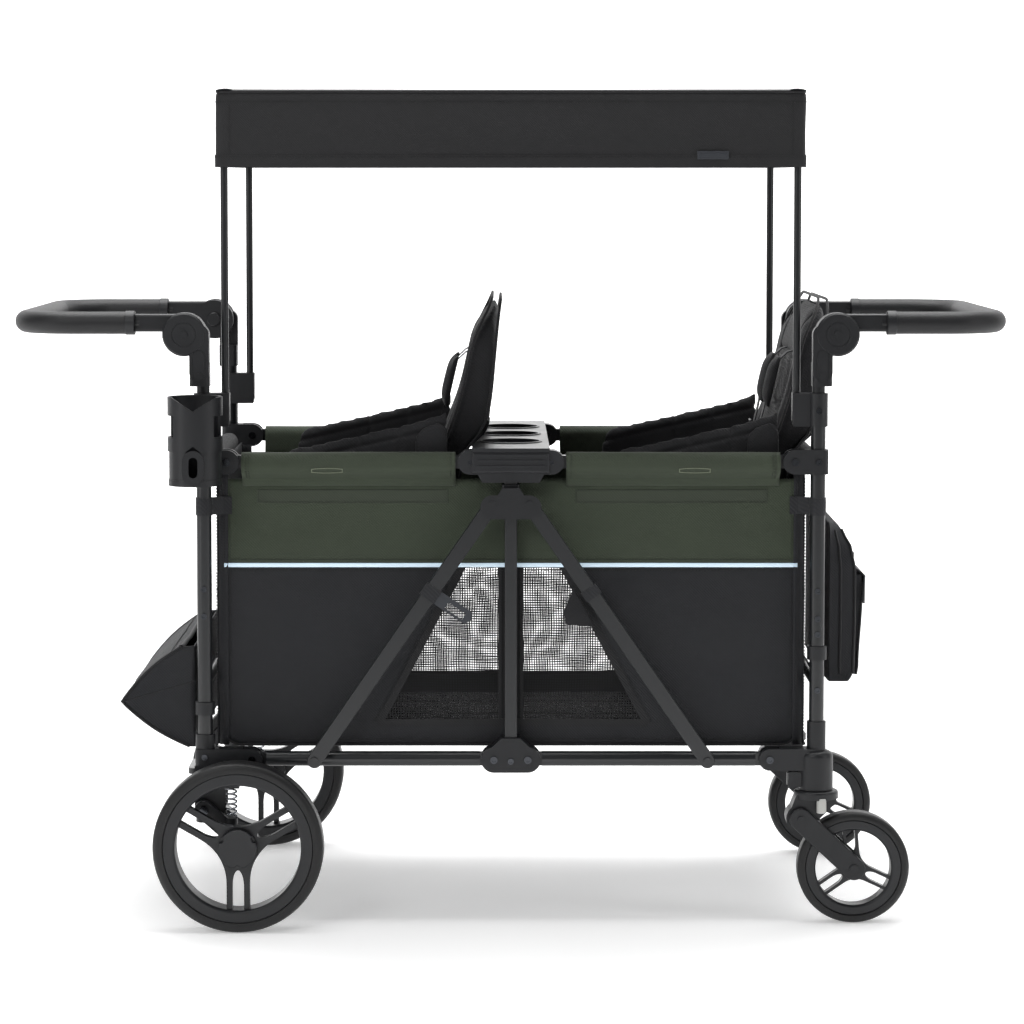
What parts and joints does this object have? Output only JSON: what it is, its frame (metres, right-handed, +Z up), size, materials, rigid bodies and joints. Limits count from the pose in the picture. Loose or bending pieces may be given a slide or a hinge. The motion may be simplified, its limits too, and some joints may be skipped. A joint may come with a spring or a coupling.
{
  "type": "stroller wagon",
  "caption": "Folding pull wagon for children with fabric sides, two seats, a canopy, handles at both ends, fixed rear wheels and swivel casters.",
  "frame": {"origin": "on the floor under the middle of the wagon", "axes": "+Z up, +X towards the end with swivel casters, -Y the side with the cup holder"},
  "size_m": [1.476, 0.723, 1.23],
  "materials": {
    "frame_metal": "satin black powder coat",
    "black_plastic": "fine texture",
    "console_plastic": "semi-gloss",
    "tyre_rubber": "matte",
    "grip_foam": "soft leather-look cover",
    "screw_steel": "black zinc",
    "green_fabric": "woven polyester",
    "black_fabric": "woven polyester"
  },
  "bodies": {
    "rear_frame": {"rear_posts": "frame_metal", "rear_fittings": "black_plastic", "rear_cross_tubes": "frame_metal", "rear_screws": "screw_steel", "cup_holder": "black_plastic", "storage_basket": "black_fabric", "side_panels": "green_fabric", "rear_end_panel": "black_fabric", "floor_mat": "black_fabric", "seat_pans": "black_fabric"},
    "front_frame": {"front_posts": "frame_metal", "front_fittings": "black_plastic", "front_cross_tubes": "frame_metal", "front_screws": "screw_steel", "caster_housings": "black_plastic", "organiser_bag": "black_fabric", "front_end_panel": "black_fabric"},
    "rear_lower_rails": {"rear_bottom_rails": "frame_metal"},
    "front_lower_rails": {"front_bottom_rails": "frame_metal"},
    "rear_upper_rails": {"rear_top_rails": "frame_metal"},
    "front_upper_rails": {"front_top_rails": "frame_metal"},
    "centre_unit": {"centre_posts": "frame_metal", "centre_boots": "black_plastic", "centre_bolts": "screw_steel", "console": "console_plastic"},
    "sliders": {"slider_collars": "black_plastic"},
    "rear_brace_pair": {"rear_braces": "frame_metal"},
    "front_brace_pair": {"front_braces": "frame_metal"},
    "canopy_rear": {"canopy_rear_hoop": "frame_metal", "canopy_cover": "black_fabric"},
    "canopy_front": {"canopy_front_hoop": "frame_metal"},
    "rear_seat": {"rear_seat_back": "black_fabric"},
    "front_seat": {"front_seat_back": "black_fabric"},
    "brake": {"brake_bar": "frame_metal"},
    "rear_handle_slide": {"rear_handle_stems": "black_plastic"},
    "rear_handle_swing": {"rear_handle_frame": "black_plastic", "rear_handle_grip": "grip_foam"},
    "rear_right_release": {"rear_right_button": "black_plastic"},
    "rear_left_release": {"rear_left_button": "black_plastic"},
    "front_handle_slide": {"front_handle_stems": "black_plastic"},
    "front_handle_swing": {"front_handle_frame": "black_plastic", "front_handle_grip": "grip_foam"},
    "front_right_release": {"front_right_button": "black_plastic"},
    "front_left_release": {"front_left_button": "black_plastic"},
    "rear_right_suspension": {"rear_right_arm": "frame_metal"},
    "rear_right_roller": {"rear_right_wheel": "black_plastic", "rear_right_tyre": "tyre_rubber"},
    "caster_right_swivel": {"caster_right_yoke": "black_plastic"},
    "caster_right_fork": {"caster_right_arm": "frame_metal"},
    "caster_right_roller": {"caster_right_wheel": "black_plastic", "caster_right_tyre": "tyre_rubber"},
    "caster_right_latch": {"caster_right_lock": "black_plastic"},
    "rear_left_suspension": {"rear_left_arm": "frame_metal"},
    "rear_left_roller": {"rear_left_wheel": "black_plastic", "rear_left_tyre": "tyre_rubber"},
    "caster_left_swivel": {"caster_left_yoke": "black_plastic"},
    "caster_left_fork": {"caster_left_arm": "frame_metal"},
    "caster_left_roller": {"caster_left_wheel": "black_plastic", "caster_left_tyre": "tyre_rubber"},
    "caster_left_latch": {"caster_left_lock": "black_plastic"}
  },
  "joints": [
    {"name": "fold", "type": "hinge", "parent": "rear_frame", "child": "rear_lower_rails", "pos_m": [-0.3825, 0, 0.244], "axis": [0, -1, 0], "range_deg": [0, 75], "deforming": ["side_panels", "floor_mat", "seat_pans", "canopy_cover", "rear_seat_back"]},
    {"name": "centre_turn", "type": "hinge", "parent": "rear_lower_rails", "child": "centre_unit", "pos_m": [-0.025, 0, 0.244], "axis": [0, 1, 0], "range_deg": [0, 75]},
    {"name": "front_lower_turn", "type": "hinge", "parent": "centre_unit", "child": "front_lower_rails", "pos_m": [0.025, 0, 0.244], "axis": [0, 1, 0], "range_deg": [0, 75]},
    {"name": "front_turn", "type": "hinge", "parent": "front_lower_rails", "child": "front_frame", "pos_m": [0.3825, 0, 0.244], "axis": [0, -1, 0], "range_deg": [0, 75]},
    {"name": "rear_upper_turn", "type": "hinge", "parent": "rear_frame", "child": "rear_upper_rails", "pos_m": [-0.4175, 0, 0.685], "axis": [0, -1, 0], "range_deg": [0, 75]},
    {"name": "front_upper_turn", "type": "hinge", "parent": "front_frame", "child": "front_upper_rails", "pos_m": [0.4175, 0, 0.685], "axis": [0, 1, 0], "range_deg": [0, 75]},
    {"name": "rear_brace_turn", "type": "hinge", "parent": "rear_lower_rails", "child": "rear_brace_pair", "pos_m": [-0.2897, 0, 0.244], "axis": [0, 1, 0], "range_deg": [0, 48.63]},
    {"name": "front_brace_turn", "type": "hinge", "parent": "front_lower_rails", "child": "front_brace_pair", "pos_m": [0.2897, 0, 0.244], "axis": [0, -1, 0], "range_deg": [0, 48.63]},
    {"name": "slider_drop", "type": "slide", "parent": "centre_unit", "child": "sliders", "axis": [0, 0, -1], "range_m": [0, 0.17876]},
    {"name": "canopy_lift", "type": "slide", "parent": "rear_frame", "child": "canopy_rear", "axis": [0, 0, 1], "range_m": [0, 0.04]},
    {"name": "canopy_front_lift", "type": "slide", "parent": "front_frame", "child": "canopy_front", "axis": [0, 0, 1], "range_m": [0, 0.04]},
    {"name": "rear_handle_height", "type": "slide", "parent": "rear_frame", "child": "rear_handle_slide", "axis": [0, 0, 1], "range_m": [0, 0.1]},
    {"name": "rear_handle_tilt", "type": "hinge", "parent": "rear_handle_slide", "child": "rear_handle_swing", "pos_m": [-0.478, 0, 0.873], "axis": [0, 1, 0], "range_deg": [-60, 90]},
    {"name": "rear_right_button_press", "type": "slide", "parent": "rear_handle_swing", "child": "rear_right_release", "axis": [0, -1, 0], "range_m": [0, 0.003], "stiffness_N_per_m": 400, "springref_m": -0.003},
    {"name": "rear_left_button_press", "type": "slide", "parent": "rear_handle_swing", "child": "rear_left_release", "axis": [0, 1, 0], "range_m": [0, 0.003], "stiffness_N_per_m": 400, "springref_m": -0.003},
    {"name": "rear_seat_fold", "type": "hinge", "parent": "rear_frame", "child": "rear_seat", "pos_m": [-0.111, 0, 0.597], "axis": [0, -1, 0], "range_deg": [0, 75]},
    {"name": "front_handle_height", "type": "slide", "parent": "front_frame", "child": "front_handle_slide", "axis": [0, 0, 1], "range_m": [0, 0.1]},
    {"name": "front_handle_tilt", "type": "hinge", "parent": "front_handle_slide", "child": "front_handle_swing", "pos_m": [0.478, 0, 0.873], "axis": [0, -1, 0], "range_deg": [-60, 90]},
    {"name": "front_right_button_press", "type": "slide", "parent": "front_handle_swing", "child": "front_right_release", "axis": [0, -1, 0], "range_m": [0, 0.003], "stiffness_N_per_m": 400, "springref_m": -0.003},
    {"name": "front_left_button_press", "type": "slide", "parent": "front_handle_swing", "child": "front_left_release", "axis": [0, 1, 0], "range_m": [0, 0.003], "stiffness_N_per_m": 400, "springref_m": -0.003},
    {"name": "front_seat_fold", "type": "hinge", "parent": "front_frame", "child": "front_seat", "pos_m": [0.38, 0, 0.597], "axis": [0, -1, 0], "range_deg": [0, 75]},
    {"name": "rear_right_spring", "type": "hinge", "parent": "rear_frame", "child": "rear_right_suspension", "pos_m": [-0.452, -0.292, 0.172], "axis": [0, -1, 0], "range_deg": [0, 8], "stiffness_Nm_per_rad": 40, "springref_deg": -11.46},
    {"name": "rear_right_roll", "type": "hinge", "parent": "rear_right_suspension", "child": "rear_right_roller", "pos_m": [-0.399, -0.329, 0.125], "axis": [0, 1, 0], "continuous": true},
    {"name": "caster_right_turn", "type": "hinge", "parent": "front_frame", "child": "caster_right_swivel", "pos_m": [0.452, -0.265, 0.2], "axis": [0, 0, 1], "continuous": true},
    {"name": "caster_right_spring", "type": "hinge", "parent": "caster_right_swivel", "child": "caster_right_fork", "pos_m": [0.428, -0.265, 0.157], "axis": [0, -1, 0], "range_deg": [0, 8], "stiffness_Nm_per_rad": 40, "springref_deg": -11.46},
    {"name": "caster_right_roll", "type": "hinge", "parent": "caster_right_fork", "child": "caster_right_roller", "pos_m": [0.507, -0.265, 0.083], "axis": [0, 1, 0], "continuous": true},
    {"name": "caster_right_lock_slide", "type": "slide", "parent": "front_frame", "child": "caster_right_latch", "axis": [-1, 0, 0], "range_m": [0, 0.005]},
    {"name": "rear_left_spring", "type": "hinge", "parent": "rear_frame", "child": "rear_left_suspension", "pos_m": [-0.452, 0.292, 0.172], "axis": [0, -1, 0], "range_deg": [0, 8], "stiffness_Nm_per_rad": 40, "springref_deg": -11.46},
    {"name": "rear_left_roll", "type": "hinge", "parent": "rear_left_suspension", "child": "rear_left_roller", "pos_m": [-0.399, 0.329, 0.125], "axis": [0, 1, 0], "continuous": true},
    {"name": "caster_left_turn", "type": "hinge", "parent": "front_frame", "child": "caster_left_swivel", "pos_m": [0.452, 0.265, 0.2], "axis": [0, 0, 1], "continuous": true},
    {"name": "caster_left_spring", "type": "hinge", "parent": "caster_left_swivel", "child": "caster_left_fork", "pos_m": [0.428, 0.265, 0.157], "axis": [0, -1, 0], "range_deg": [0, 8], "stiffness_Nm_per_rad": 40, "springref_deg": -11.46},
    {"name": "caster_left_roll", "type": "hinge", "parent": "caster_left_fork", "child": "caster_left_roller", "pos_m": [0.507, 0.265, 0.083], "axis": [0, 1, 0], "continuous": true},
    {"name": "caster_left_lock_slide", "type": "slide", "parent": "front_frame", "child": "caster_left_latch", "axis": [-1, 0, 0], "range_m": [0, 0.005]},
    {"name": "brake_press", "type": "hinge", "parent": "rear_frame", "child": "brake", "pos_m": [-0.43, 0, 0.186], "axis": [0, -1, 0], "range_deg": [0, 20]}
  ],
  "couplings": [
    {"joint": "centre_turn", "follows": "fold", "ratio": 1},
    {"joint": "front_lower_turn", "follows": "fold", "ratio": 1},
    {"joint": "front_turn", "follows": "fold", "ratio": 1},
    {"joint": "rear_upper_turn", "follows": "fold", "ratio": 1},
    {"joint": "front_upper_turn", "follows": "fold", "ratio": 1},
    {"joint": "rear_brace_turn", "follows": "fold", "ratio": 0.64823},
    {"joint": "front_brace_turn", "follows": "fold", "ratio": 0.64823},
    {"joint": "slider_drop", "follows": "fold", "m_per_rad": 0.13648},
    {"joint": "canopy_front_lift", "follows": "canopy_lift", "ratio": 1}
  ]
}
